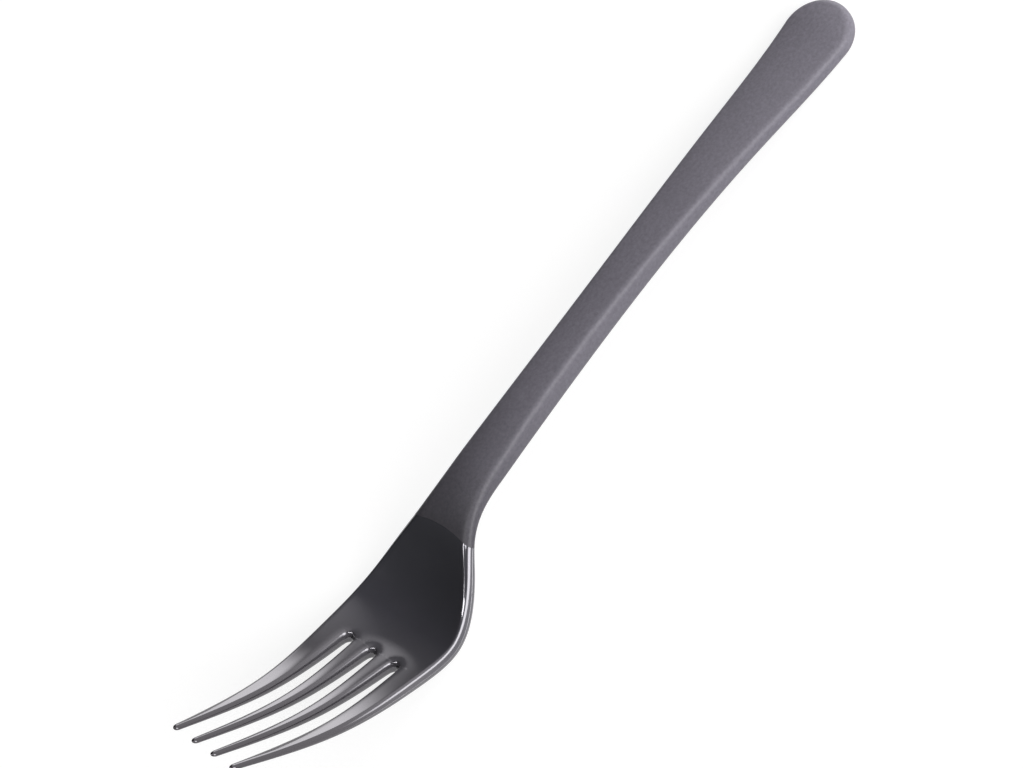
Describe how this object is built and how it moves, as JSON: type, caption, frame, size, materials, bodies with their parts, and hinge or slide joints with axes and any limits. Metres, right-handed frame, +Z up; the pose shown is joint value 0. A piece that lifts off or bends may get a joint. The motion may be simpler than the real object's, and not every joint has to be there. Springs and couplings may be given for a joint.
{
  "type": "dinner fork",
  "caption": "Dinner fork with long upswept tines, a dished gloss bowl and an arched matte handle with a rounded end.",
  "frame": {"origin": "middle of the fork's footprint on the table that it lies on", "axes": "+X from the tine tips to the handle end, +Z up from the table, +Y across the fork"},
  "size_m": [0.1901, 0.028, 0.032],
  "materials": {
    "gloss_head": "polished, near-black grey",
    "matte_handle": "fine moulded grain, purple-grey"
  },
  "bodies": {
    "root": {"fork_head": "gloss_head", "handle": "matte_handle"}
  },
  "joints": []
}
